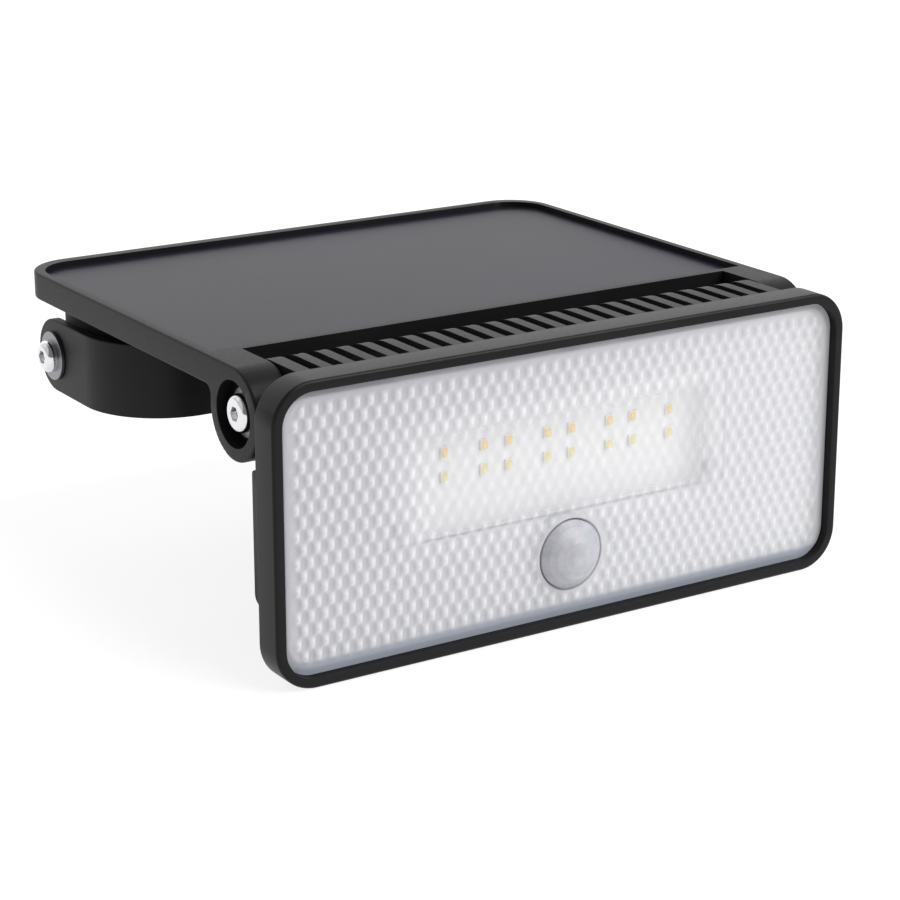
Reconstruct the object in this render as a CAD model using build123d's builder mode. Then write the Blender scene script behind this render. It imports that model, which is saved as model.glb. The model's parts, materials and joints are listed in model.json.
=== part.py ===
from build123d import *
import os
from math import sqrt

# Solar flood light: a solar panel tray on a folding wall bracket, with a tilting lamp head.
#
# Millimetres. +Z is up, +X is to the right seen from the front, and the lamp looks along -Y.
# The origin is the centre of the outer face of the wall bracket's base.
# It is modelled folded: the bracket lies under the tray and the lens stands upright.

os.makedirs("parts", exist_ok=True)

# ------------------------------------------------------------------ driving dimensions

# Wall bracket: a flat steel strap bent to a U.
bracket_width = 24.0
bracket_gauge = 3.0
bracket_bend = 28.0            # outer bend radius
bracket_inset = 4.0            # tray side to the arm's outer face
bracket_reach = 51.0           # base's outer face to the pivot axis
wall_hole = 6.5
wall_hole_pitch = 90.0
strap_edge = 0.5               # rounding of the strap's outer edges

# Panel tray with its two hinge ears.
tray_width = 200.0
tray_depth = 132.0             # rear edge to the front edge between the ears
tray_edge = 8.8
tray_rise = 27.5               # pivot axis to the top of the tray
tray_overhang = 17.0           # pivot axis to the tray's rear edge
tray_corner = 16.0
tray_edge_round = 0.7
rim_side = 3.0
rim_rear = 4.5
rim_front = 2.5
rim_lip = 1.8                  # rim's top to the glass
pv_ledge = 4.0
tray_floor = 2.0
ear_radius = 14.0
ear_width = 11.7
ear_root_fillet = 3.0
ear_counterbore = 20.0
ear_counterbore_depth = 5.0

# Solar laminate.
glass_thick = 2.0
cell_thick = 0.3
backsheet_thick = 1.2
cell_columns = 6
cell_rows = 4
cell_gap = 1.2
cell_margin = 3.0

# Battery box under the tray.
box_inset = 3.0                # arm's inner face to the box side
box_front_gap = 3.0            # bracket base's inner face to the box
box_overhang = 7.0             # pivot axis to the box's rear wall
box_drop = 10.5                # pivot axis to the box's underside
box_wall = 2.2
box_floor = 2.0
box_rear_corner = 4.0
box_edge_round = 2.0
gasket_thick = 1.0
box_boss = 9.0
boss_margin = 1.0              # bosses to the parts beside them
boss_reach = 13.5              # tray's underside to the end of its bosses
box_screw = 3.0
box_screw_head = 6.0
box_screw_head_height = 2.2
box_screw_sink = 3.5
box_screw_grip = 8.0           # thread inside the tray's boss
cross_recess = 3.6
cross_recess_width = 0.8
cross_recess_depth = 1.2

# Battery cells and boards.
cell_diameter = 18.4
cell_length = 65.0
cell_pitch = 20.0
cell_rise = 1.6                # box floor to the cells
cell_edge = 0.8
tab_thick = 0.3
tab_width = 6.0
tab_overlap = 4.0              # pitch line of a cell to the end of its tab
tab_rise = 2.5                 # cells' axes to the middle of the tabs
tab_corner = 1.0
board_thick = 1.6
board_length = 31.0
board_width = 24.0
board_post = 4.4
board_post_inset = 6.0
board_corner = 4.0
component_corner = 0.5
charge_board_rise = 14.0       # box floor to the charging board
lead_hole = 8.0

# Mode button.
button_diameter = 9.0
button_proud = 1.2
button_flange = 12.0
button_flange_thick = 1.2
button_travel = 0.8
plunger_diameter = 3.4
button_round = 0.6
plunger_depth = 1.2            # plunger's length inside the switch
switch_size = 6.0
switch_height = 3.5
switch_back = 0.6              # closed end of the switch on its board
switch_corner = 0.4

# Fasteners.
pivot_screw = 6.0              # M6
pivot_head = 10.5
pivot_head_height = 3.3
pivot_socket = 4.0
pivot_nut_flats = 10.0
pivot_nut_height = 5.0
pivot_washer = 16.0
pivot_washer_thick = 1.2
pivot_boss = 13.0
pivot_head_round = 2.2
pivot_disc_thick = 1.1
hinge_screw = 6.0              # M6
hinge_head = 11.5
hinge_head_height = 3.4
hinge_socket = 4.0
hinge_nut_flats = 10.0
hinge_nut_height = 5.0
hinge_washer = 15.0
hinge_washer_thick = 1.2
hinge_boss = 14.0
hinge_head_round = 1.9
hinge_friction_disc = 18.0
socket_share = 0.6             # depth of a socket in its head's height

# Lamp head: front frame, lens, reflector and LED board.
frame_height = 91.25
frame_overhang = 2.64          # frame side past the tray side
frame_rise = 15.0              # hinge axis to the frame's top
frame_depth = 10.6
frame_wall = 3.1
frame_corner = 13.0
frame_edge_round = 1.0
frame_ear_gap = 3.1            # frame's back to the ears
lens_sink = 2.4                # frame's front to the lens
lens_thick = 2.5
lens_gasket_thick = 1.0
lens_gasket_width = 3.0
reflector_thick = 1.0
reflector_flange = 13.5
reflector_corner = 4.0
window_corner = 1.0
ledge_width = 4.0
flange_plate = 2.0             # plate of the rear housing inside the frame
fixing_screw = 2.5             # screws that hold the housing and the LED board
fixing_head_height = 1.6
fixing_head_round = 0.7
fixing_recess = 2.8
fixing_recess_width = 0.6
fixing_recess_depth = 0.9
fixing_pad = 7.0               # pads and sleeves round these screws
short_screw_rise = 8.5         # opening's lower side to the four short screws
short_screw_shift = 4.8        # inner short screws, from a quarter of the opening
long_pad_back = 4.8            # frame's back to the end of its two long pads
led_screw_head = 4.5
led_screw_head_height = 1.2
led_screw_inset_x = 6.0
led_screw_inset_z = 5.0
led_screw_length = 8.0
led_board_length = 126.0
led_board_height = 37.2
led_board_drop = 24.0          # hinge axis to the middle of the LED board
led_board_sink = 2.4           # housing plate's front to the board's back
led_board_gap = 1.0            # board to the recess round it
led_length = 2.8
led_width = 3.5
led_height = 0.8
led_row_pitch = 7.5
led_row_rise = 3.85            # board's middle to the middle of the two rows
led_columns = (4.4, 18.3, 27.1, 41.0)

# Rear housing with its vented barrel.
barrel_side_gap = 0.8          # barrel end to the ear
barrel_gap = 1.7               # barrel to the tray's front edge
barrel_end = 4.5
housing_wall = 2.2
slot_pitch = 7.35
slot_width = 3.6
slot_front_margin = 3.1        # frame's back to the front end of a slot
slot_drop = 3.0                # hinge axis to the lower end of a slot
bump_inset = 5.64              # frame side to the bump's side
bump_top_gap = 1.5             # barrel's underside to the top of the bump
bump_height = 40.5
bump_depth = 12.3
bump_round = 3.0

# Motion sensor.
pir_drop = 53.8                # hinge axis to the sensor's axis
pir_dome_diameter = 21.5
pir_dome_height = 5.5
pir_dome_wall = 0.8
pir_hole = 23.0
pir_ring_sink = 0.8            # lens face to the ring's front
pir_base_thick = 1.2
pir_can = 9.2
pir_can_height = 4.2
pir_can_round = 0.5
pir_window_width = 4.0
pir_window_height = 3.0
pir_window_depth = 0.3
sensor_board_diameter = 22.0

# Fits and clearances.
running_clearance = 0.05       # radial, shafts that turn in a hole
face_clearance = 0.1           # between faces that turn past each other
seat_clearance = 0.15          # between a part and the recess it sits in
screw_clearance = 0.2          # radial, screws through plain holes
button_clearance = 0.3         # radial, button in its hole
boss_clearance = 0.3           # tray's bosses to the box's wall

# ------------------------------------------------------------------ derived places

bracket_span = tray_width - 2 * bracket_inset
pivot_y = bracket_reach
arm_inner = bracket_span / 2 - bracket_gauge

tray_top = tray_rise
tray_bottom = tray_top - tray_edge
tray_rear = pivot_y + tray_overhang
tray_front = tray_rear - tray_depth
hinge_y = tray_front - barrel_gap - ear_radius
hinge_z = tray_top - ear_radius
ear_inner = tray_width / 2 - ear_width

pv_thick = glass_thick + cell_thick + backsheet_thick
glass_top = tray_top - rim_lip
pv_bottom = glass_top - pv_thick
pv_half = tray_width / 2 - rim_side
pv_front = tray_front + rim_front
pv_rear = tray_rear - rim_rear
pv_corner = tray_corner - rim_side

box_half = arm_inner - box_inset
box_front = bracket_gauge + box_front_gap
box_rear = pivot_y + box_overhang
box_bottom = -box_drop
box_inside = box_bottom + box_floor
box_top = tray_bottom - gasket_thick
box_front_corner = bracket_bend - bracket_gauge - box_inset
box_middle = (box_front + box_rear) / 2
switch_gap = 3 * button_travel     # button's flange to the switch
box_corner_inset = box_boss - boss_margin
tray_boss = box_boss - 2.0
corner_reach = (box_front_corner - box_wall - tray_boss / 2 - boss_clearance) / sqrt(2)
front_screw_x = box_half - box_front_corner + corner_reach
rear_screw_x = box_half - 2 * box_boss
inner_screw_x = cell_length / 2 + box_boss / 2 + boss_margin
front_screw_y = box_front + box_front_corner - corner_reach
rear_screw_y = box_rear - box_corner_inset
board_x = inner_screw_x + box_boss / 2 + boss_margin + board_length / 2
box_screw_points = [(side * x, y) for side in (-1, 1)
                    for x, y in ((front_screw_x, front_screw_y), (rear_screw_x, rear_screw_y),
                                 (inner_screw_x, front_screw_y), (inner_screw_x, rear_screw_y))]
boss_split = tray_bottom - boss_reach   # where the box's sleeves meet the tray's bosses

frame_half = tray_width / 2 + frame_overhang
frame_top = hinge_z + frame_rise
frame_middle = frame_top - frame_height / 2
frame_back = hinge_y - ear_radius - frame_ear_gap
frame_front = frame_back - frame_depth
lens_front = frame_front + lens_sink
lens_back = lens_front + lens_thick
opening_width = 2 * (frame_half - frame_wall)
opening_height = frame_height - 2 * frame_wall
opening_corner = frame_corner - frame_wall
gasket_back = lens_back + lens_gasket_thick
reflector_back = gasket_back + reflector_thick
plate_front = frame_back - flange_plate
led_board_back = plate_front + led_board_sink
led_board_front = led_board_back - board_thick
led_middle = hinge_z - led_board_drop
led_rows_z = led_middle + led_row_rise

barrel_half = ear_inner - barrel_side_gap
slot_count = int((2 * (barrel_half - barrel_end) - slot_width) / slot_pitch) + 1
barrel_bottom = hinge_z - ear_radius
bump_top = barrel_bottom - bump_top_gap
bump_bottom = bump_top - bump_height
bump_side = frame_half - bump_inset
bump_back = frame_back + bump_depth
pir_z = hinge_z - pir_drop

# ------------------------------------------------------------------ wall bracket

with BuildPart() as wall_bracket:
    arm_tip = pivot_y + bracket_width / 2
    with BuildSketch(Plane.XY.offset(-bracket_width / 2)):
        with Locations((0, arm_tip / 2)):
            Rectangle(bracket_span, arm_tip)
        fillet(vertices().group_by(Axis.Y)[0], bracket_bend)
    extrude(amount=bracket_width)
    with BuildSketch(Plane.XY.offset(-bracket_width / 2)):
        with Locations((0, arm_tip / 2 + bracket_gauge)):
            Rectangle(bracket_span - 2 * bracket_gauge, arm_tip)
        fillet(vertices().group_by(Axis.Y)[0], bracket_bend - bracket_gauge)
    extrude(amount=bracket_width, mode=Mode.SUBTRACT)
    # The arm ends are round about the pivot.
    with BuildSketch(Plane.YZ.offset(-bracket_span / 2)):
        with Locations((pivot_y / 2, 0)):
            Rectangle(pivot_y, bracket_width)
        with Locations((pivot_y, 0)):
            Circle(bracket_width / 2)
    extrude(amount=bracket_span, mode=Mode.INTERSECT)
    outside = faces().filter_by(Axis.Y).sort_by(Axis.Y)[0]
    fillet(outside.edges().filter_by(Axis.X), strap_edge)
    with BuildSketch(Plane.YZ.offset(-bracket_span / 2)):
        with Locations((pivot_y, 0)):
            Circle(pivot_screw / 2 + running_clearance)
    extrude(amount=bracket_span, mode=Mode.SUBTRACT)
    with BuildSketch(Plane.XZ):
        with GridLocations(wall_hole_pitch, 0, 2, 1):
            Circle(wall_hole / 2)
    extrude(amount=-bracket_gauge, mode=Mode.SUBTRACT)
wall_bracket.part.label = "wall_bracket"
export_step(wall_bracket.part, "parts/wall_bracket.step")

# ------------------------------------------------------------------ panel tray

with BuildPart() as panel_tray:
    with BuildSketch(Plane.XY.offset(tray_bottom)):
        with Locations((0, (tray_front + tray_rear) / 2)):
            Rectangle(tray_width, tray_depth)
        fillet(vertices().group_by(Axis.Y)[-1], tray_corner)
    extrude(amount=tray_edge)
    # Each ear is a round boss about the hinge axis, blended into the tray's underside.
    ear_root = ear_width
    ear_corner_y = hinge_y + sqrt(ear_radius**2 - (hinge_z - tray_bottom) ** 2)
    for ear_start in (-tray_width / 2, ear_inner):
        with BuildSketch(Plane.YZ.offset(ear_start)):
            with Locations((hinge_y, hinge_z)):
                Circle(ear_radius)
            with Locations((hinge_y, tray_bottom)):
                Rectangle(tray_front + ear_root - hinge_y, tray_edge, align=(Align.MIN, Align.MIN))
            fillet(vertices().sort_by_distance((ear_corner_y, tray_bottom))[0], ear_root_fillet)
        extrude(amount=ear_width)
    # Seat of the laminate, and the shallow space for its wires below.
    with BuildSketch(Plane.XY.offset(pv_bottom)):
        with Locations((0, (pv_front + pv_rear) / 2)):
            Rectangle(2 * pv_half, pv_rear - pv_front)
        fillet(vertices().group_by(Axis.Y)[-1], pv_corner)
    extrude(amount=tray_top - pv_bottom, mode=Mode.SUBTRACT)
    with BuildSketch(Plane.XY.offset(tray_bottom + tray_floor)):
        with Locations((0, (pv_front + pv_rear) / 2)):
            Rectangle(2 * (pv_half - pv_ledge), pv_rear - pv_front - 2 * pv_ledge)
        fillet(vertices(), pv_corner - pv_ledge)
    extrude(until=Until.NEXT, mode=Mode.SUBTRACT)
    sides = faces().filter_by(Axis.X).group_by(SortBy.AREA)[-1]
    fillet([side.edges().sort_by(Axis.Z)[-1] for side in sides], tray_edge_round)
    # Bosses that take the battery box's screws.
    with BuildSketch(Plane.XY.offset(boss_split + face_clearance)):
        with Locations(*box_screw_points):
            Circle(tray_boss / 2)
    extrude(amount=tray_bottom - boss_split)
    with BuildSketch(Plane.XY.offset(boss_split)):
        with Locations(*box_screw_points):
            Circle(box_screw / 2)
    extrude(amount=tray_bottom - boss_split, mode=Mode.SUBTRACT)
    # Hinge screws: a counterbore in each ear's outer face and a running hole through it.
    for ear_plane in (Plane.YZ.offset(tray_width / 2), Plane.YZ.offset(-tray_width / 2)):
        inward = -1 if ear_plane.origin.X > 0 else 1
        with BuildSketch(ear_plane):
            with Locations((hinge_y, hinge_z)):
                Circle(ear_counterbore / 2)
        extrude(amount=inward * ear_counterbore_depth, mode=Mode.SUBTRACT)
        with BuildSketch(ear_plane):
            with Locations((hinge_y, hinge_z)):
                Circle(hinge_screw / 2 + running_clearance)
        extrude(amount=inward * ear_width, mode=Mode.SUBTRACT)
    # Hole for the leads down into the battery box.
    with BuildSketch(Plane.XY.offset(tray_bottom)):
        with Locations((-board_x, box_middle)):
            Circle(lead_hole / 2)
    extrude(amount=tray_floor, mode=Mode.SUBTRACT)
panel_tray.part.label = "panel_tray"
export_step(panel_tray.part, "parts/panel_tray.step")

# ------------------------------------------------------------------ solar laminate

with BuildPart() as solar_glass:
    with BuildSketch(Plane.XY.offset(glass_top - glass_thick)):
        with Locations((0, (pv_front + pv_rear) / 2)):
            Rectangle(2 * (pv_half - seat_clearance), pv_rear - pv_front - 2 * seat_clearance)
        fillet(vertices().group_by(Axis.Y)[-1], pv_corner - seat_clearance)
    extrude(amount=glass_thick)
solar_glass.part.label = "solar_glass"
export_step(solar_glass.part, "parts/solar_glass.step")

# The cells are a grid of plates sealed between the glass and the backsheet.
cell_field_x = 2 * (pv_half - cell_margin)
cell_field_y = pv_rear - pv_front - 2 * cell_margin
cell_x = cell_field_x / cell_columns - cell_gap
cell_y = cell_field_y / cell_rows - cell_gap
with BuildPart() as solar_cells:
    with BuildSketch(Plane.XY.offset(glass_top - glass_thick - cell_thick)):
        with Locations((0, (pv_front + pv_rear) / 2)):
            with GridLocations(cell_x + cell_gap, cell_y + cell_gap, cell_columns, cell_rows):
                RectangleRounded(cell_x, cell_y, cell_margin)
    extrude(amount=cell_thick)
solar_cells.part.label = "solar_cells"
export_step(solar_cells.part, "parts/solar_cells.step")

with BuildPart() as solar_backsheet:
    with BuildSketch(Plane.XY.offset(pv_bottom)):
        with Locations((0, (pv_front + pv_rear) / 2)):
            Rectangle(2 * (pv_half - seat_clearance), pv_rear - pv_front - 2 * seat_clearance)
        fillet(vertices().group_by(Axis.Y)[-1], pv_corner - seat_clearance)
    extrude(amount=backsheet_thick)
solar_backsheet.part.label = "solar_backsheet"
export_step(solar_backsheet.part, "parts/solar_backsheet.step")

# ------------------------------------------------------------------ battery box

pivot_hole = pivot_screw / 2 + screw_clearance
pivot_boss_face = arm_inner - face_clearance - pivot_disc_thick
nut_pocket_flats = pivot_nut_flats + 2 * screw_clearance
nut_pocket_depth = pivot_nut_height + face_clearance
pivot_nut_start = box_half - box_wall - nut_pocket_depth
button_hole = button_diameter / 2 + button_clearance

with BuildPart() as battery_box:
    with BuildSketch(Plane.XY.offset(box_bottom)):
        with Locations((0, box_middle)):
            Rectangle(2 * box_half, box_rear - box_front)
        fillet(vertices().group_by(Axis.Y)[0], box_front_corner)
        fillet(vertices().group_by(Axis.Y)[-1], box_rear_corner)
    extrude(amount=box_top - box_bottom)
    fillet(faces().sort_by(Axis.Z)[0].edges(), box_edge_round)
    with BuildSketch(Plane.XY.offset(box_inside)):
        with Locations((0, box_middle)):
            Rectangle(2 * (box_half - box_wall), box_rear - box_front - 2 * box_wall)
        fillet(vertices().group_by(Axis.Y)[0], box_front_corner - box_wall)
        fillet(vertices().group_by(Axis.Y)[-1], box_rear_corner - box_wall)
    extrude(amount=box_top - box_inside, mode=Mode.SUBTRACT)
    # Round bosses on both sides carry the pivots, with a hexagonal seat for each nut inside.
    for side, boss_start in ((1, pivot_nut_start), (-1, -pivot_boss_face)):
        with BuildSketch(Plane.YZ.offset(boss_start)):
            with Locations((pivot_y, 0)):
                Circle(pivot_boss / 2)
        extrude(amount=pivot_boss_face - pivot_nut_start)
        with BuildSketch(Plane.YZ.offset(side * pivot_nut_start)):
            with Locations((pivot_y, 0)):
                RegularPolygon(nut_pocket_flats / 2, 6, major_radius=False)
        extrude(amount=side * nut_pocket_depth, mode=Mode.SUBTRACT)
    with BuildSketch(Plane.YZ.offset(-pivot_boss_face)):
        with Locations((pivot_y, 0)):
            Circle(pivot_hole)
    extrude(amount=2 * pivot_boss_face, mode=Mode.SUBTRACT)
    # Sleeves for the screws that hold the box to the tray.
    with BuildSketch(Plane.XY.offset(box_inside)):
        with Locations(*box_screw_points):
            Circle(box_boss / 2)
    extrude(amount=boss_split - box_inside)
    with BuildSketch(Plane.XY.offset(box_bottom)):
        with Locations(*box_screw_points):
            Circle(box_screw / 2 + screw_clearance)
    extrude(amount=boss_split - box_bottom, mode=Mode.SUBTRACT)
    with BuildSketch(Plane.XY.offset(box_bottom)):
        with Locations(*box_screw_points):
            Circle(box_screw_head / 2 + screw_clearance)
    extrude(amount=box_screw_sink, mode=Mode.SUBTRACT)
    # Hole that guides the mode button.
    with BuildSketch(Plane.XY.offset(box_bottom)):
        with Locations((board_x, box_middle)):
            Circle(button_hole)
    extrude(amount=box_floor, mode=Mode.SUBTRACT)
    # Posts under the two boards.
    switch_board_z = box_inside + button_flange_thick + switch_height + switch_gap
    charge_board_z = box_inside + charge_board_rise
    for post_x, post_top in ((board_x, switch_board_z), (-board_x, charge_board_z)):
        with BuildSketch(Plane.XY.offset(box_inside)):
            with Locations((post_x, box_middle)):
                with GridLocations(board_length - board_post_inset,
                                   board_width - board_post_inset, 2, 2):
                    Circle(board_post / 2)
        extrude(amount=post_top - box_inside)
battery_box.part.label = "battery_box"
export_step(battery_box.part, "parts/battery_box.step")

with BuildPart() as box_gasket:
    with BuildSketch(Plane.XY.offset(box_top)):
        with Locations((0, box_middle)):
            Rectangle(2 * box_half, box_rear - box_front)
        fillet(vertices().group_by(Axis.Y)[0], box_front_corner)
        fillet(vertices().group_by(Axis.Y)[-1], box_rear_corner)
        offset(amount=-box_wall, mode=Mode.SUBTRACT)
    extrude(amount=gasket_thick)
box_gasket.part.label = "box_gasket"
export_step(box_gasket.part, "parts/box_gasket.step")

with BuildPart() as box_screws:
    head_bottom = box_bottom + box_screw_sink - box_screw_head_height
    with BuildSketch(Plane.XY.offset(head_bottom)):
        with Locations(*box_screw_points):
            Circle(box_screw_head / 2)
    extrude(amount=box_screw_head_height)
    with BuildSketch(Plane.XY.offset(box_bottom + box_screw_sink)):
        with Locations(*box_screw_points):
            Circle(box_screw / 2)
    extrude(amount=boss_split - box_bottom - box_screw_sink + box_screw_grip)
    with BuildSketch(Plane.XY.offset(head_bottom)):
        with Locations(*box_screw_points):
            Rectangle(cross_recess, cross_recess_width)
            Rectangle(cross_recess_width, cross_recess)
    extrude(amount=cross_recess_depth, mode=Mode.SUBTRACT)
box_screws.part.label = "box_screws"
export_step(box_screws.part, "parts/box_screws.step")

# ------------------------------------------------------------------ batteries and boards

cell_centre_z = box_inside + cell_diameter / 2 + cell_rise
with BuildPart() as battery_cells:
    with BuildSketch(Plane.YZ.offset(-cell_length / 2)):
        with Locations((box_middle, cell_centre_z)):
            with GridLocations(cell_pitch, 0, 2, 1):
                Circle(cell_diameter / 2)
    extrude(amount=cell_length)
    fillet(edges().filter_by(GeomType.CIRCLE), cell_edge)
battery_cells.part.label = "battery_cells"
export_step(battery_cells.part, "parts/battery_cells.step")

with BuildPart() as battery_cradle:
    with BuildSketch(Plane.XY.offset(box_inside)):
        with Locations((0, box_middle)):
            Rectangle(cell_length, 2 * cell_pitch)
    extrude(amount=cell_diameter / 2)
    with BuildSketch(Plane.YZ.offset(-cell_length / 2 - seat_clearance)):
        with Locations((box_middle, cell_centre_z)):
            with GridLocations(cell_pitch, 0, 2, 1):
                Circle(cell_diameter / 2 + seat_clearance)
    extrude(amount=cell_length + 2 * seat_clearance, mode=Mode.SUBTRACT)
battery_cradle.part.label = "battery_cradle"
export_step(battery_cradle.part, "parts/battery_cradle.step")

with BuildPart() as battery_tabs:
    for tab_x in (-cell_length / 2 - tab_thick, cell_length / 2):
        with BuildSketch(Plane.YZ.offset(tab_x)):
            with Locations((box_middle, cell_centre_z + tab_rise)):
                RectangleRounded(cell_pitch + 2 * tab_overlap, tab_width, tab_corner)
        extrude(amount=tab_thick)
battery_tabs.part.label = "battery_tabs"
export_step(battery_tabs.part, "parts/battery_tabs.step")

with BuildPart() as charge_board:
    with BuildSketch(Plane.XY.offset(charge_board_z)):
        with Locations((-board_x, box_middle)):
            RectangleRounded(board_length, board_width, board_corner)
            Circle(lead_hole / 2, mode=Mode.SUBTRACT)
    extrude(amount=board_thick)
charge_board.part.label = "charge_board"
export_step(charge_board.part, "parts/charge_board.step")

# Inductor, charging chip, capacitor and the two plugs: place on the board, size and height.
board_parts = ((-10, 6, 6, 6, 3.2), (-10, -6, 5, 4, 1.4), (9, -7, 4, 4, 4.0),
               (10, 6, 7.5, 6, 4.0), (0, -9, 8, 4, 4.0))
with BuildPart() as charge_components:
    for place_x, place_y, size_x, size_y, tall in board_parts:
        with BuildSketch(Plane.XY.offset(charge_board_z + board_thick)):
            with Locations((place_x - board_x, place_y + box_middle)):
                RectangleRounded(size_x, size_y, component_corner)
        extrude(amount=tall)
charge_components.part.label = "charge_components"
export_step(charge_components.part, "parts/charge_components.step")

with BuildPart() as switch_board:
    with BuildSketch(Plane.XY.offset(switch_board_z)):
        with Locations((board_x, box_middle)):
            RectangleRounded(board_length, board_width, board_corner)
    extrude(amount=board_thick)
switch_board.part.label = "switch_board"
export_step(switch_board.part, "parts/switch_board.step")

plunger_hole = plunger_diameter / 2 + running_clearance
switch_bottom = switch_board_z - switch_height
with BuildPart() as tactile_switch:
    with BuildSketch(Plane.XY.offset(switch_bottom)):
        with Locations((board_x, box_middle)):
            RectangleRounded(switch_size, switch_size, switch_corner)
            Circle(plunger_hole, mode=Mode.SUBTRACT)
    extrude(amount=switch_height - switch_back)
    with BuildSketch(Plane.XY.offset(switch_board_z - switch_back)):
        with Locations((board_x, box_middle)):
            RectangleRounded(switch_size, switch_size, switch_corner)
    extrude(amount=switch_back)
tactile_switch.part.label = "tactile_switch"
export_step(tactile_switch.part, "parts/tactile_switch.step")

# The button is a round cap with a flange that stops it inside the box.
flange_bottom = box_inside + face_clearance
flange_top = flange_bottom + button_flange_thick
with BuildPart() as mode_button:
    with BuildSketch(Plane.XY.offset(box_bottom - button_proud)):
        with Locations((board_x, box_middle)):
            Circle(button_diameter / 2)
    extrude(amount=flange_bottom - box_bottom + button_proud)
    fillet(edges().group_by(Axis.Z)[0], button_round)
    with BuildSketch(Plane.XY.offset(flange_bottom)):
        with Locations((board_x, box_middle)):
            Circle(button_flange / 2)
    extrude(amount=button_flange_thick)
mode_button.part.label = "mode_button"
export_step(mode_button.part, "parts/mode_button.step")

with BuildPart() as switch_plunger:
    with BuildSketch(Plane.XY.offset(flange_top)):
        with Locations((board_x, box_middle)):
            Circle(plunger_diameter / 2)
    extrude(amount=switch_bottom - flange_top + plunger_depth)
switch_plunger.part.label = "switch_plunger"
export_step(switch_plunger.part, "parts/switch_plunger.step")

# ------------------------------------------------------------------ bracket pivots

washer_start = bracket_span / 2 + face_clearance
pivot_head_start = washer_start + pivot_washer_thick

with BuildPart() as pivot_screws:
    for side in (-1, 1):
        with BuildSketch(Plane.YZ.offset(side * pivot_nut_start)):
            with Locations((pivot_y, 0)):
                Circle(pivot_screw / 2)
        extrude(amount=side * (pivot_head_start - pivot_nut_start))
        with BuildSketch(Plane.YZ.offset(side * pivot_head_start)):
            with Locations((pivot_y, 0)):
                Circle(pivot_head / 2)
        extrude(amount=side * pivot_head_height)
    fillet(edges().filter_by(GeomType.CIRCLE).sort_by(Axis.X)[0], pivot_head_round)
    fillet(edges().filter_by(GeomType.CIRCLE).sort_by(Axis.X)[-1], pivot_head_round)
    for side in (-1, 1):
        with BuildSketch(Plane.YZ.offset(side * (pivot_head_start + pivot_head_height))):
            with Locations((pivot_y, 0)):
                RegularPolygon(pivot_socket / 2, 6, major_radius=False)
        extrude(amount=-side * pivot_head_height * socket_share, mode=Mode.SUBTRACT)
pivot_screws.part.label = "pivot_screws"
export_step(pivot_screws.part, "parts/pivot_screws.step")

with BuildPart() as pivot_washers:
    for side in (-1, 1):
        with BuildSketch(Plane.YZ.offset(side * washer_start)):
            with Locations((pivot_y, 0)):
                Circle(pivot_washer / 2)
                Circle(pivot_screw / 2 + screw_clearance, mode=Mode.SUBTRACT)
        extrude(amount=side * pivot_washer_thick)
pivot_washers.part.label = "pivot_washers"
export_step(pivot_washers.part, "parts/pivot_washers.step")

with BuildPart() as pivot_friction_discs:
    for side in (-1, 1):
        with BuildSketch(Plane.YZ.offset(side * pivot_boss_face)):
            with Locations((pivot_y, 0)):
                Circle(pivot_boss / 2)
                Circle(pivot_screw / 2 + screw_clearance, mode=Mode.SUBTRACT)
        extrude(amount=side * (arm_inner - face_clearance - pivot_boss_face))
pivot_friction_discs.part.label = "pivot_friction_discs"
export_step(pivot_friction_discs.part, "parts/pivot_friction_discs.step")

with BuildPart() as pivot_nuts:
    for side in (-1, 1):
        with BuildSketch(Plane.YZ.offset(side * pivot_nut_start)):
            with Locations((pivot_y, 0)):
                RegularPolygon(pivot_nut_flats / 2, 6, major_radius=False)
                Circle(pivot_screw / 2, mode=Mode.SUBTRACT)
        extrude(amount=side * pivot_nut_height)
pivot_nuts.part.label = "pivot_nuts"
export_step(pivot_nuts.part, "parts/pivot_nuts.step")

# ------------------------------------------------------------------ lamp head: front frame

long_screw_x = bump_side - housing_wall - fixing_pad / 2 - boss_margin
long_screw_z = bump_top - housing_wall - fixing_pad / 2 - 2 * boss_margin
short_screw_z = frame_middle - opening_height / 2 + short_screw_rise
short_screw_x = (opening_width / 4 - short_screw_shift, opening_width / 2 - reflector_flange)
ledge_back = plate_front
long_pad_end = frame_back + long_pad_back

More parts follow.
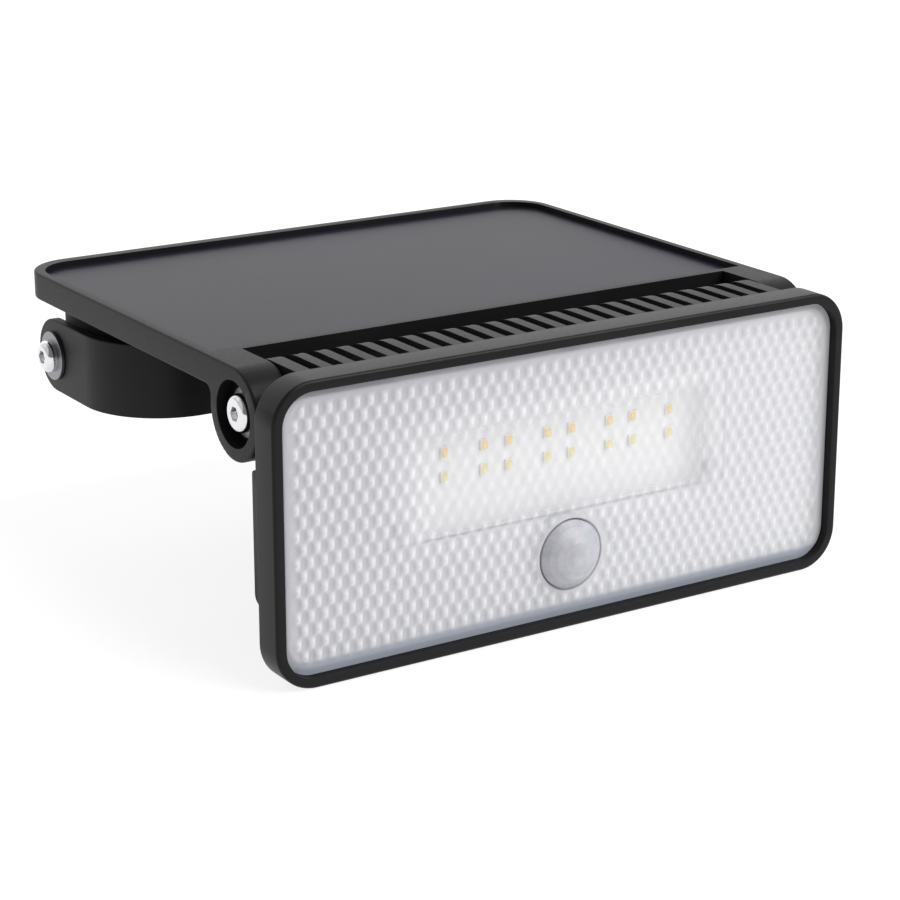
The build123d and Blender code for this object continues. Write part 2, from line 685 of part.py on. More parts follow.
with BuildPart() as head_frame:
    with BuildSketch(Plane.XZ.offset(-frame_back)):
        with Locations((0, frame_middle)):
            RectangleRounded(2 * frame_half, frame_height, frame_corner)
    extrude(amount=frame_depth)
    fillet(faces().sort_by(Axis.Y)[0].edges(), frame_edge_round)
    fillet(faces().sort_by(Axis.Y)[-1].edges(), frame_edge_round / 2)
    with BuildSketch(Plane.XZ.offset(-frame_back)):
        with Locations((0, frame_middle)):
            RectangleRounded(opening_width, opening_height, opening_corner)
    extrude(amount=frame_depth, mode=Mode.SUBTRACT)
    # Ledge that carries the reflector and the lens.
    with BuildSketch(Plane.XZ.offset(-ledge_back)):
        with Locations((0, frame_middle)):
            RectangleRounded(opening_width, opening_height, opening_corner)
            RectangleRounded(opening_width - 2 * ledge_width, opening_height - 2 * ledge_width,
                             opening_corner - ledge_width, mode=Mode.SUBTRACT)
    extrude(amount=ledge_back - reflector_back)
    # Pads for the rear screws: four on the lower ledge and two on the sides.
    with BuildSketch(Plane.XZ.offset(-ledge_back)):
        for x in short_screw_x:
            with Locations((-x, short_screw_z), (x, short_screw_z)):
                Circle(fixing_pad / 2)
            with Locations((-x, short_screw_z), (x, short_screw_z)):
                Rectangle(fixing_pad, short_screw_rise, align=(Align.CENTER, Align.MAX))
        for side, edge in ((-1, Align.MAX), (1, Align.MIN)):
            with Locations((side * long_screw_x, long_screw_z)):
                Rectangle(opening_width / 2 - long_screw_x, fixing_pad, align=(edge, Align.CENTER))
    extrude(amount=ledge_back - reflector_back)
    with BuildSketch(Plane.XZ.offset(-long_pad_end)):
        with Locations((-long_screw_x, long_screw_z), (long_screw_x, long_screw_z)):
            Circle(fixing_pad / 2)
    extrude(amount=long_pad_end - reflector_back)
    with BuildSketch(Plane.XZ.offset(-long_pad_end)):
        with Locations((-long_screw_x, long_screw_z), (long_screw_x, long_screw_z)):
            Circle(fixing_screw / 2)
        for x in short_screw_x:
            with Locations((-x, short_screw_z), (x, short_screw_z)):
                Circle(fixing_screw / 2)
    extrude(amount=long_pad_end - reflector_back, mode=Mode.SUBTRACT)
head_frame.part.label = "head_frame"
export_step(head_frame.part, "parts/head_frame.step")

# ------------------------------------------------------------------ lens, gasket and reflector

lens_width = opening_width - 2 * seat_clearance
lens_height = opening_height - 2 * seat_clearance
lens_corner = opening_corner - seat_clearance
with BuildPart() as front_lens:
    with BuildSketch(Plane.XZ.offset(-lens_back)):
        with Locations((0, frame_middle)):
            RectangleRounded(lens_width, lens_height, lens_corner)
        with Locations((0, pir_z)):
            Circle(pir_hole / 2, mode=Mode.SUBTRACT)
    extrude(amount=lens_thick)
front_lens.part.label = "front_lens"
export_step(front_lens.part, "parts/front_lens.step")

with BuildPart() as lens_gasket:
    with BuildSketch(Plane.XZ.offset(-gasket_back)):
        with Locations((0, frame_middle)):
            RectangleRounded(lens_width, lens_height, lens_corner)
            RectangleRounded(lens_width - 2 * lens_gasket_width, lens_height - 2 * lens_gasket_width,
                             lens_corner - lens_gasket_width, mode=Mode.SUBTRACT)
    extrude(amount=lens_gasket_thick)
lens_gasket.part.label = "lens_gasket"
export_step(lens_gasket.part, "parts/lens_gasket.step")

# The reflector is a thin white tray: a flat rim, sloping walls and a window for the LED board.
pir_ring = pir_hole - 2 * seat_clearance
window_width = led_board_length + 2 * seat_clearance
window_height = led_board_height + 2 * seat_clearance
slope_width = lens_width - 2 * reflector_flange
slope_height = lens_height - 2 * reflector_flange
slope_front = gasket_back
slope_back = plate_front
with BuildPart() as reflector:
    with BuildSketch(Plane.XZ.offset(-reflector_back)):
        with Locations((0, frame_middle)):
            RectangleRounded(lens_width, lens_height, lens_corner)
    extrude(amount=reflector_thick)
    # The outside of the slope, then the inside, both lofted from the rim to the window.
    with BuildSketch(Plane.XZ.offset(-reflector_back)):
        with Locations((0, frame_middle)):
            RectangleRounded(slope_width + reflector_thick, slope_height + reflector_thick,
                             reflector_corner)
    with BuildSketch(Plane.XZ.offset(-slope_back)):
        with Locations((0, led_middle)):
            RectangleRounded(window_width + 2 * reflector_thick,
                             window_height + 2 * reflector_thick, window_corner)
    loft()
    with BuildSketch(Plane.XZ.offset(-slope_front)):
        with Locations((0, frame_middle)):
            RectangleRounded(slope_width, slope_height, reflector_corner)
    with BuildSketch(Plane.XZ.offset(-slope_back)):
        with Locations((0, led_middle)):
            RectangleRounded(window_width, window_height, window_corner)
    loft(mode=Mode.SUBTRACT)
    with BuildSketch(Plane.XZ.offset(-slope_back)):
        with Locations((0, pir_z)):
            Circle(pir_hole / 2)
    extrude(amount=slope_back - slope_front, mode=Mode.SUBTRACT)
reflector.part.label = "reflector"
export_step(reflector.part, "parts/reflector.step")

# ------------------------------------------------------------------ LED board

led_screw_x = led_board_length / 2 - led_screw_inset_x
led_screw_z = led_board_height / 2 - led_screw_inset_z
with BuildPart() as led_board:
    with BuildSketch(Plane.XZ.offset(-led_board_back)):
        with Locations((0, led_middle)):
            RectangleRounded(led_board_length, led_board_height, window_corner)
            with Locations((-led_screw_x, -led_screw_z), (led_screw_x, -led_screw_z)):
                Circle(fixing_screw / 2 + screw_clearance, mode=Mode.SUBTRACT)
    extrude(amount=board_thick)
led_board.part.label = "led_board"
export_step(led_board.part, "parts/led_board.step")

with BuildPart() as led_chips:
    with BuildSketch(Plane.XZ.offset(-led_board_front)):
        for row_z in (led_rows_z - led_row_pitch / 2, led_rows_z + led_row_pitch / 2):
            for x in led_columns:
                with Locations((-x, row_z), (x, row_z)):
                    Rectangle(led_length, led_width)
    extrude(amount=led_height)
led_chips.part.label = "led_chips"
export_step(led_chips.part, "parts/led_chips.step")

# ------------------------------------------------------------------ motion sensor

sensor_board_back = plate_front
sensor_board_front = sensor_board_back - board_thick
ring_back = sensor_board_front
ring_front = lens_front + pir_ring_sink
dome_seat = ring_back - pir_base_thick
dome_radius = pir_dome_diameter / 2
dome_bore = dome_radius - pir_dome_wall
ring_bore = dome_radius + seat_clearance

# The white ring holds the dome in the lens and keeps stray light off the sensor.
with BuildPart() as pir_ring_mount:
    with BuildSketch(Plane.XZ.offset(-ring_back)):
        with Locations((0, pir_z)):
            Circle(pir_ring / 2)
            Circle(pir_can / 2 + seat_clearance, mode=Mode.SUBTRACT)
    extrude(amount=pir_base_thick)
    with BuildSketch(Plane.XZ.offset(-dome_seat)):
        with Locations((0, pir_z)):
            Circle(pir_ring / 2)
            Circle(ring_bore, mode=Mode.SUBTRACT)
    extrude(amount=dome_seat - ring_front)
pir_ring_mount.part.label = "pir_ring"
export_step(pir_ring_mount.part, "parts/pir_ring.step")

# The dome is a short tube closed by a shallow spherical cap.
cap_radius = (dome_radius**2 + pir_dome_height**2) / (2 * pir_dome_height)
cap_centre = lens_front - pir_dome_height + cap_radius
cap_inner_rise = sqrt((cap_radius - pir_dome_wall) ** 2 - dome_bore**2)
with BuildPart() as pir_dome:
    with BuildSketch(Plane.XY.offset(pir_z)):
        with BuildLine():
            Line((0, cap_centre - cap_radius + pir_dome_wall), (0, cap_centre - cap_radius))
            RadiusArc((0, cap_centre - cap_radius), (dome_radius, lens_front), -cap_radius)
            Line((dome_radius, lens_front), (dome_radius, dome_seat))
            Line((dome_radius, dome_seat), (dome_bore, dome_seat))
            Line((dome_bore, dome_seat), (dome_bore, cap_centre - cap_inner_rise))
            RadiusArc((dome_bore, cap_centre - cap_inner_rise),
                      (0, cap_centre - cap_radius + pir_dome_wall), cap_radius - pir_dome_wall)
        make_face()
    revolve(axis=Axis((0, 0, pir_z), (0, 1, 0)))
pir_dome.part.label = "pir_dome"
export_step(pir_dome.part, "parts/pir_dome.step")

with BuildPart() as pir_sensor:
    with BuildSketch(Plane.XZ.offset(-sensor_board_front)):
        with Locations((0, pir_z)):
            Circle(pir_can / 2)
    extrude(amount=pir_can_height)
    fillet(edges().sort_by(Axis.Y)[0], pir_can_round)
    with BuildSketch(Plane.XZ.offset(-(sensor_board_front - pir_can_height))):
        with Locations((0, pir_z)):
            Rectangle(pir_window_width, pir_window_height)
    extrude(amount=-pir_window_depth, mode=Mode.SUBTRACT)
pir_sensor.part.label = "pir_sensor"
export_step(pir_sensor.part, "parts/pir_sensor.step")

with BuildPart() as sensor_board:
    with BuildSketch(Plane.XZ.offset(-sensor_board_back)):
        with Locations((0, pir_z)):
            Circle(sensor_board_diameter / 2)
    extrude(amount=board_thick)
sensor_board.part.label = "sensor_board"
export_step(sensor_board.part, "parts/sensor_board.step")

# ------------------------------------------------------------------ rear housing

barrel_bore = ear_radius - housing_wall
chamber_front = led_board_back + housing_wall
plate_width = opening_width - 2 * seat_clearance
plate_height = opening_height - 2 * seat_clearance
plate_corner = opening_corner - seat_clearance
cavity_half = bump_side - housing_wall
cavity_top = bump_top - housing_wall
cavity_bottom = bump_bottom + housing_wall
cavity_back = bump_back - housing_wall
hinge_nut_pocket = hinge_nut_flats + 2 * screw_clearance
hinge_nut_start = barrel_half - barrel_end - hinge_nut_height
slot_front = frame_back + slot_front_margin
slot_low = hinge_z - slot_drop

with BuildPart() as head_housing:
    with BuildSketch(Plane.XZ.offset(-frame_back)):
        with Locations((0, frame_middle)):
            RectangleRounded(plate_width, plate_height, plate_corner)
    extrude(amount=flange_plate)
    # Flat top running over into the barrel, and the web below it.
    with BuildSketch(Plane.YZ.offset(-barrel_half)):
        with Locations((frame_back, hinge_z)):
            Rectangle(hinge_y - frame_back, ear_radius, align=(Align.MIN, Align.MIN))
        with Locations((hinge_y, hinge_z)):
            Circle(ear_radius)
        with Locations((frame_back, bump_bottom + bump_round)):
            Rectangle(bump_depth, hinge_z - bump_bottom - bump_round, align=(Align.MIN, Align.MIN))
    extrude(amount=2 * barrel_half)
    # The bump behind the lens is wider than the barrel.
    with BuildSketch(Plane.YZ.offset(-bump_side)):
        with Locations((frame_back, bump_bottom)):
            Rectangle(bump_depth, bump_height, align=(Align.MIN, Align.MIN))
        fillet(vertices().group_by(Axis.X)[-1].sort_by(Axis.Y)[0], bump_round)
        fillet(vertices().group_by(Axis.X)[-1].sort_by(Axis.Y)[-1], bump_round / 2)
    extrude(amount=2 * bump_side)
    # Space for the electronics, open to the front.
    with BuildSketch(Plane.XZ.offset(-cavity_back)):
        with Locations((0, (cavity_top + cavity_bottom) / 2)):
            RectangleRounded(2 * cavity_half, cavity_top - cavity_bottom, bump_round)
    extrude(amount=cavity_back - plate_front, mode=Mode.SUBTRACT)
    with BuildSketch(Plane.XZ.offset(-led_board_back)):
        with Locations((0, led_middle)):
            RectangleRounded(led_board_length + 2 * led_board_gap,
                             led_board_height + 2 * led_board_gap, window_corner + led_board_gap)
    extrude(amount=led_board_back - plate_front, mode=Mode.SUBTRACT)
    # Air space inside the barrel, closed off from the electronics.
    with BuildSketch(Plane.YZ.offset(-(barrel_half - barrel_end))):
        with Locations((chamber_front, hinge_z)):
            Rectangle(hinge_y - chamber_front, barrel_bore, align=(Align.MIN, Align.MIN))
        with Locations((hinge_y, hinge_z)):
            Circle(barrel_bore)
    extrude(amount=2 * (barrel_half - barrel_end), mode=Mode.SUBTRACT)
    # Slots through the top, over the barrel and down its back.
    with BuildSketch(Plane.XY.offset(slot_low)):
        with Locations((0, slot_front)):
            with GridLocations(slot_pitch, 0, slot_count, 1):
                Rectangle(slot_width, tray_front - slot_front, align=(Align.CENTER, Align.MIN))
    extrude(amount=tray_top - slot_low, mode=Mode.SUBTRACT)
    # Hinge bosses in the barrel's ends, each with a seat for its nut.
    for side in (-1, 1):
        with BuildSketch(Plane.YZ.offset(side * hinge_nut_start)):
            with Locations((hinge_y, hinge_z)):
                Circle(hinge_boss / 2)
        extrude(amount=side * (barrel_half - hinge_nut_start))
        with BuildSketch(Plane.YZ.offset(side * hinge_nut_start)):
            with Locations((hinge_y, hinge_z)):
                RegularPolygon(hinge_nut_pocket / 2, 6, major_radius=False)
        extrude(amount=side * (hinge_nut_height + face_clearance), mode=Mode.SUBTRACT)
        with BuildSketch(Plane.YZ.offset(side * hinge_nut_start)):
            with Locations((hinge_y, hinge_z)):
                Circle(hinge_screw / 2 + screw_clearance)
        extrude(amount=side * (barrel_half - hinge_nut_start), mode=Mode.SUBTRACT)
    # Posts for the LED board's two screws.
    with BuildSketch(Plane.XZ.offset(-bump_back)):
        with Locations((0, led_middle)):
            with Locations((-led_screw_x, -led_screw_z), (led_screw_x, -led_screw_z)):
                Circle(fixing_pad / 2)
    extrude(amount=bump_back - led_board_back)
    with BuildSketch(Plane.XZ.offset(-cavity_back)):
        with Locations((0, led_middle)):
            with Locations((-led_screw_x, -led_screw_z), (led_screw_x, -led_screw_z)):
                Circle(fixing_screw / 2)
    extrude(amount=cavity_back - led_board_back, mode=Mode.SUBTRACT)
    # Sleeves and holes for the two long screws, and holes for the four short ones.
    long_screw_places = Locations((-long_screw_x, long_screw_z), (long_screw_x, long_screw_z))
    with BuildSketch(Plane.XZ.offset(-bump_back)):
        with long_screw_places:
            Circle(fixing_pad / 2)
    extrude(amount=bump_back - long_pad_end - face_clearance)
    with BuildSketch(Plane.XZ.offset(-bump_back)):
        with long_screw_places:
            Circle(fixing_screw / 2 + screw_clearance)
    extrude(amount=bump_back - long_pad_end, mode=Mode.SUBTRACT)
    with BuildSketch(Plane.XZ.offset(-bump_back)):
        with long_screw_places:
            Circle(fixing_screw + screw_clearance)
    extrude(amount=fixing_screw, mode=Mode.SUBTRACT)
    with BuildSketch(Plane.XZ.offset(-frame_back)):
        for x in short_screw_x:
            with Locations((-x, short_screw_z), (x, short_screw_z)):
                Circle(fixing_screw / 2 + screw_clearance)
    extrude(amount=flange_plate, mode=Mode.SUBTRACT)
head_housing.part.label = "head_housing"
export_step(head_housing.part, "parts/head_housing.step")

# ------------------------------------------------------------------ head fasteners

with BuildPart() as short_screws:
    with BuildSketch(Plane.XZ.offset(-frame_back)):
        for x in short_screw_x:
            with Locations((-x, short_screw_z), (x, short_screw_z)):
                Circle(fixing_screw)
    extrude(amount=-fixing_head_height)
    fillet(edges().group_by(Axis.Y)[-1], fixing_head_round)
    with BuildSketch(Plane.XZ.offset(-frame_back)):
        for x in short_screw_x:
            with Locations((-x, short_screw_z), (x, short_screw_z)):
                Circle(fixing_screw / 2)
    extrude(amount=frame_back - reflector_back)
    with BuildSketch(Plane.XZ.offset(-(frame_back + fixing_head_height))):
        for x in short_screw_x:
            with Locations((-x, short_screw_z), (x, short_screw_z)):
                Rectangle(fixing_recess, fixing_recess_width)
                Rectangle(fixing_recess_width, fixing_recess)
    extrude(amount=fixing_recess_depth, mode=Mode.SUBTRACT)
short_screws.part.label = "short_screws"
export_step(short_screws.part, "parts/short_screws.step")

long_screw_seat = bump_back - fixing_screw
with BuildPart() as long_screws:
    with BuildSketch(Plane.XZ.offset(-long_screw_seat)):
        with long_screw_places:
            Circle(fixing_screw)
    extrude(amount=-fixing_head_height)
    fillet(edges().group_by(Axis.Y)[-1], fixing_head_round)
    with BuildSketch(Plane.XZ.offset(-long_screw_seat)):
        with long_screw_places:
            Circle(fixing_screw / 2)
    extrude(amount=long_screw_seat - reflector_back)
    with BuildSketch(Plane.XZ.offset(-(long_screw_seat + fixing_head_height))):
        with long_screw_places:
            Rectangle(fixing_recess, fixing_recess_width)
            Rectangle(fixing_recess_width, fixing_recess)
    extrude(amount=fixing_recess_depth, mode=Mode.SUBTRACT)
long_screws.part.label = "long_screws"
export_step(long_screws.part, "parts/long_screws.step")

with BuildPart() as led_board_screws:
    with BuildSketch(Plane.XZ.offset(-led_board_front)):
        with Locations((0, led_middle)):
            with Locations((-led_screw_x, -led_screw_z), (led_screw_x, -led_screw_z)):
                Circle(led_screw_head / 2)
    extrude(amount=led_screw_head_height)
    with BuildSketch(Plane.XZ.offset(-led_board_front)):
        with Locations((0, led_middle)):
            with Locations((-led_screw_x, -led_screw_z), (led_screw_x, -led_screw_z)):
                Circle(fixing_screw / 2)
    extrude(amount=-led_screw_length)
led_board_screws.part.label = "led_board_screws"
export_step(led_board_screws.part, "parts/led_board_screws.step")

# ------------------------------------------------------------------ head hinges

hinge_washer_start = tray_width / 2 - ear_counterbore_depth + face_clearance
hinge_head_start = hinge_washer_start + hinge_washer_thick

with BuildPart() as hinge_screws:
    for side in (-1, 1):
        with BuildSketch(Plane.YZ.offset(side * hinge_nut_start)):
            with Locations((hinge_y, hinge_z)):
                Circle(hinge_screw / 2)
        extrude(amount=side * (hinge_head_start - hinge_nut_start))
        with BuildSketch(Plane.YZ.offset(side * hinge_head_start)):
            with Locations((hinge_y, hinge_z)):
                Circle(hinge_head / 2)
        extrude(amount=side * hinge_head_height)
    fillet(edges().filter_by(GeomType.CIRCLE).sort_by(Axis.X)[0], hinge_head_round)
    fillet(edges().filter_by(GeomType.CIRCLE).sort_by(Axis.X)[-1], hinge_head_round)
    for side in (-1, 1):
        with BuildSketch(Plane.YZ.offset(side * (hinge_head_start + hinge_head_height))):
            with Locations((hinge_y, hinge_z)):
                RegularPolygon(hinge_socket / 2, 6, major_radius=False)
        extrude(amount=-side * hinge_head_height * socket_share, mode=Mode.SUBTRACT)
hinge_screws.part.label = "hinge_screws"
export_step(hinge_screws.part, "parts/hinge_screws.step")

with BuildPart() as hinge_washers:
    for side in (-1, 1):
        with BuildSketch(Plane.YZ.offset(side * hinge_washer_start)):
            with Locations((hinge_y, hinge_z)):
                Circle(hinge_washer / 2)
                Circle(hinge_screw / 2 + screw_clearance, mode=Mode.SUBTRACT)
        extrude(amount=side * hinge_washer_thick)
hinge_washers.part.label = "hinge_washers"
export_step(hinge_washers.part, "parts/hinge_washers.step")

with BuildPart() as hinge_friction_discs:
    for side in (-1, 1):
        with BuildSketch(Plane.YZ.offset(side * barrel_half)):
            with Locations((hinge_y, hinge_z)):
                Circle(hinge_friction_disc / 2)
                Circle(hinge_screw / 2 + screw_clearance, mode=Mode.SUBTRACT)
        extrude(amount=side * (barrel_side_gap - face_clearance))
hinge_friction_discs.part.label = "hinge_friction_discs"
export_step(hinge_friction_discs.part, "parts/hinge_friction_discs.step")

with BuildPart() as hinge_nuts:
    for side in (-1, 1):
        with BuildSketch(Plane.YZ.offset(side * hinge_nut_start)):
            with Locations((hinge_y, hinge_z)):
                RegularPolygon(hinge_nut_flats / 2, 6, major_radius=False)
                Circle(hinge_screw / 2, mode=Mode.SUBTRACT)
        extrude(amount=side * hinge_nut_height)
hinge_nuts.part.label = "hinge_nuts"
export_step(hinge_nuts.part, "parts/hinge_nuts.step")
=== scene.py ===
"""Solar flood light: its visible surfaces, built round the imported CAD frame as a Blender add-on."""
import json
import math

import bmesh
import bpy
from bpy.props import FloatProperty, FloatVectorProperty, IntProperty, PointerProperty
from mathutils import Matrix, Vector


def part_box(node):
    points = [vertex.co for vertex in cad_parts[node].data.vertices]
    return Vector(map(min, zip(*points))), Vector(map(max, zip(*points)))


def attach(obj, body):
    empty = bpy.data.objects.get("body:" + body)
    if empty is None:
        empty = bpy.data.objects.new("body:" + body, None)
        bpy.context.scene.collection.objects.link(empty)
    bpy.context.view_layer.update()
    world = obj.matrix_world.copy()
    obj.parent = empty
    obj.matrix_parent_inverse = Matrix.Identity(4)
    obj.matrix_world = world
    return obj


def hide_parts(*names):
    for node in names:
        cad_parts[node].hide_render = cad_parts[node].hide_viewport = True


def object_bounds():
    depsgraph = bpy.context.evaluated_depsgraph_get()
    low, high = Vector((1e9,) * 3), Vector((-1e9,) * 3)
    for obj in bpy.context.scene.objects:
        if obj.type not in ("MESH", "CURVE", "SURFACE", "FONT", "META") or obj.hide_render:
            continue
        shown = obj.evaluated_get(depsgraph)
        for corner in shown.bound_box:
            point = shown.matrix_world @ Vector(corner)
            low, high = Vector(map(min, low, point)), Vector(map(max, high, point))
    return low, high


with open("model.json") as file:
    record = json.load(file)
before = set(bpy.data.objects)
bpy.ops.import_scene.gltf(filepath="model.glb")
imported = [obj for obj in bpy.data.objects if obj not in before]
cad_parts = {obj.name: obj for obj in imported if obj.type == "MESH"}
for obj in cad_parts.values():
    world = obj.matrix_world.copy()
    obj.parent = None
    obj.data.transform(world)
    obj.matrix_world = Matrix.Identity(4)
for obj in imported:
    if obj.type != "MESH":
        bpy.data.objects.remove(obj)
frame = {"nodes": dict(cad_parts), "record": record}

bl_info = {
    "name": "Solar flood light",
    "version": (1, 0, 0),
    "blender": (4, 5, 0),
    "location": "View3D > Sidebar > Flood light",
    "description": "Builds the lens, LEDs, sensor, screws and finishes of a solar flood light",
    "category": "Object",
}

MM = 0.001
CAD_BOX = [list(corner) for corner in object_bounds()]
NODES = frame["nodes"]
BODY = {node: body for body, nodes in frame["record"]["behaviour"]["bodies"].items() for node in nodes}

WELD = 0.004 * MM                     # CAD vertices closer than this are one
LENS_CORNER = 9.75 * MM
LENS_HOLE_GAP = 0.1 * MM              # sensor ring to the edge of the lens's hole
LENS_STEPS = (6, 5)                   # grid steps to a prism, across and up
LENS_RING_MARGIN = 1.0 * MM           # plain margin round the hole
LENS_FADE = 0.7 * MM                  # prisms rise to full height within this
LENS_BEVEL = (2.6 * MM, 0.5 * MM)     # width and fall of the sloping border
LENS_CALM = 0.2                       # how much lower the prisms are over the LED board
LENS_CALM_EDGE = 3 * MM
PRISM_SHARPNESS = 1.3
PRISM_PIT = 0.35                      # share of a prism's height that lies below the sheet's face
LED_BODY = (2.8 * MM, 3.5 * MM, 0.25 * MM)    # width, height, corner
LED_GEL = (2.2 * MM, 2.9 * MM, 0.7 * MM)
LED_GEL_PROUD = 0.1 * MM
DOME_WALL = 0.8 * MM
FLOOR_GAP = 0.2 * MM
CAMERA_PLACE = (-0.42528, -0.69770, 0.22257)
CAMERA_DOWN = 17.52                   # degrees below level
CAMERA_TURN = -32.80
CAMERA_LENS = 102.73


# ------------------------------------------------------------------ places read from the frame

def span(node, axis):
    """Lowest and highest value of a CAD node along one axis, in metres."""
    low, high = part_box(node)
    return low[axis], high[axis]


def middle(node):
    """Centre of a CAD node's box."""
    low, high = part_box(node)
    return (Vector(low) + Vector(high)) / 2


def size(node, axis):
    """Length of a CAD node along one axis."""
    low, high = span(node, axis)
    return high - low


# ------------------------------------------------------------------ mesh helpers

def object_from(bm, name, material, smooth=True):
    """A mesh object with its place in its mesh, normals pointing out, from a finished bmesh."""
    bmesh.ops.recalc_face_normals(bm, faces=bm.faces[:])
    mesh = bpy.data.meshes.new(name)
    bm.to_mesh(mesh)
    bm.free()
    mesh.materials.append(material)
    for polygon in mesh.polygons:
        polygon.use_smooth = smooth
    piece = bpy.data.objects.new(name, mesh)
    bpy.context.scene.collection.objects.link(piece)
    return piece


def keep_edges(piece, degrees):
    """Edges sharper than this stay crisp under smooth shading."""
    piece.data.set_sharp_from_angle(angle=math.radians(degrees))


def stand_for(node, piece):
    """The piece stands for a CAD node: it moves with the node's body, and the CAD node is hidden."""
    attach(piece, BODY[node])
    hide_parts(node)


def eased_copy(node, name, material, width_mm=0.3, degrees=30):
    """A copy of a CAD node with its sharp edges eased, as a mould or a press leaves them."""
    bm = bmesh.new()
    bm.from_mesh(NODES[node].data)
    bmesh.ops.remove_doubles(bm, verts=bm.verts[:], dist=WELD)
    bmesh.ops.dissolve_limit(bm, angle_limit=math.radians(0.4), verts=bm.verts[:], edges=bm.edges[:])
    mesh = bpy.data.meshes.new(name)
    bm.to_mesh(mesh)
    bm.free()
    mesh.materials.append(material)
    for polygon in mesh.polygons:
        polygon.use_smooth = True
    mesh.set_sharp_from_angle(angle=math.radians(degrees))
    piece = bpy.data.objects.new(name, mesh)
    bpy.context.scene.collection.objects.link(piece)
    eased = piece.modifiers.new("eased_edges", "BEVEL")
    eased.width = width_mm * MM
    eased.segments = 2
    eased.limit_method = "ANGLE"
    eased.angle_limit = math.radians(degrees)
    eased.harden_normals = True
    return piece


def finish_nodes(material, *names):
    """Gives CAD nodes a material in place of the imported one."""
    for name in names:
        slots = NODES[name].material_slots
        for slot in slots:
            slot.material = material
        if not slots:
            NODES[name].data.materials.append(material)


def facing_front():
    """Turns a shape made along +Z to point along -Y."""
    return Matrix.Rotation(math.radians(90), 4, "X")


def rounded_plate(width, height, radius, thick, segments=10):
    """A closed plate in XY with round corners, from z=0 up to its thickness."""
    bm = bmesh.new()
    bmesh.ops.create_grid(bm, x_segments=1, y_segments=1, size=0.5)
    bmesh.ops.scale(bm, verts=bm.verts[:], vec=(width, height, 1))
    bmesh.ops.bevel(bm, geom=bm.verts[:], offset=radius, offset_type="OFFSET", affect="VERTICES",
                    segments=segments, profile=0.5, material=-1)
    top = bmesh.ops.extrude_face_region(bm, geom=bm.faces[:], use_keep_orig=True)
    moved = [v for v in top["geom"] if isinstance(v, bmesh.types.BMVert)]
    bmesh.ops.translate(bm, verts=moved, vec=(0, 0, thick))
    return bm


# ------------------------------------------------------------------ material helpers

def linear(hex_colour):
    """An sRGB hex colour as linear RGBA."""
    channels = [int(hex_colour[i:i + 2], 16) / 255 for i in (1, 3, 5)]
    return [c / 12.92 if c <= 0.04045 else ((c + 0.055) / 1.055) ** 2.4 for c in channels] + [1.0]


def add(tree, kind, links=(), **settings):
    """Adds a node, sets its properties and sockets, and links (output socket, input name) pairs into it."""
    node = tree.nodes.new(kind)
    for key, value in settings.items():
        if hasattr(node, key):
            setattr(node, key, value)
        else:
            node.inputs[key.replace("_", " ")].default_value = value
    for socket, target in links:
        tree.links.new(socket, node.inputs[target])
    return node


def new_material(name):
    """An empty node material with its shader, and the Object coordinates that its patterns read."""
    material = bpy.data.materials.new(name)
    material.use_nodes = True
    tree = material.node_tree
    tree.nodes.clear()
    output = tree.nodes.new("ShaderNodeOutputMaterial")
    shader = tree.nodes.new("ShaderNodeBsdfPrincipled")
    tree.links.new(shader.outputs[0], output.inputs["Surface"])
    place = tree.nodes.new("ShaderNodeTexCoord").outputs["Object"]
    return material, tree, shader, place


def shades(tree, factor, dark, light, low=0.3, high=0.7):
    """A colour that runs from dark to light as the factor rises."""
    ramp = tree.nodes.new("ShaderNodeValToRGB")
    ramp.color_ramp.elements[0].position = low
    ramp.color_ramp.elements[0].color = dark
    ramp.color_ramp.elements[1].position = high
    ramp.color_ramp.elements[1].color = light
    tree.links.new(factor, ramp.inputs[0])
    return ramp.outputs[0]


def scaled(colour, factor):
    """A colour made darker or lighter, as opaque RGBA."""
    return [min(1.0, c * factor) for c in colour[:3]] + [1.0]


def noise(tree, place, grain_mm, detail=2.0):
    """Noise with grains about this wide."""
    return add(tree, "ShaderNodeTexNoise", [(place, "Vector")], Scale=1 / (grain_mm * MM),
               Detail=detail).outputs[0]


def ranged(tree, value, start, end, low=0.0, high=1.0):
    """A value that goes from start to end while the given one goes from low to high."""
    return add(tree, "ShaderNodeMapRange", [(value, "Value")], From_Min=low, From_Max=high,
               To_Min=start, To_Max=end).outputs[0]


def relief(tree, height, strength, deep_mm):
    """A surface normal that follows a height."""
    return add(tree, "ShaderNodeBump", [(height, "Height")], Strength=strength,
               Distance=deep_mm * MM).outputs[0]


def finish(tree, shader, **settings):
    """Sets the shader's sockets to constants, or links them to the output of a node."""
    for key, value in settings.items():
        socket = shader.inputs[key.replace("_", " ")]
        if isinstance(value, bpy.types.NodeSocket):
            tree.links.new(value, socket)
        else:
            socket.default_value = value


def textured_abs(name, colour, roughness, grain_mm=0.9, depth=0.25):
    """Moulded ABS with a spark-eroded grain, drawn about twice as coarse as real so that it shows.
    It gives a satin black whose highlights break up softly, a little lighter on worn high spots."""
    material, tree, shader, place = new_material(name)
    grain = noise(tree, place, grain_mm, 3.0)
    patches = noise(tree, place, 35)
    finish(tree, shader, Base_Color=shades(tree, patches, scaled(colour, 0.82), scaled(colour, 1.25)),
           Roughness=ranged(tree, grain, roughness - 0.06, roughness + 0.08),
           Normal=relief(tree, grain, depth, 0.05), IOR=1.53, Specular_IOR_Level=0.16)
    return material


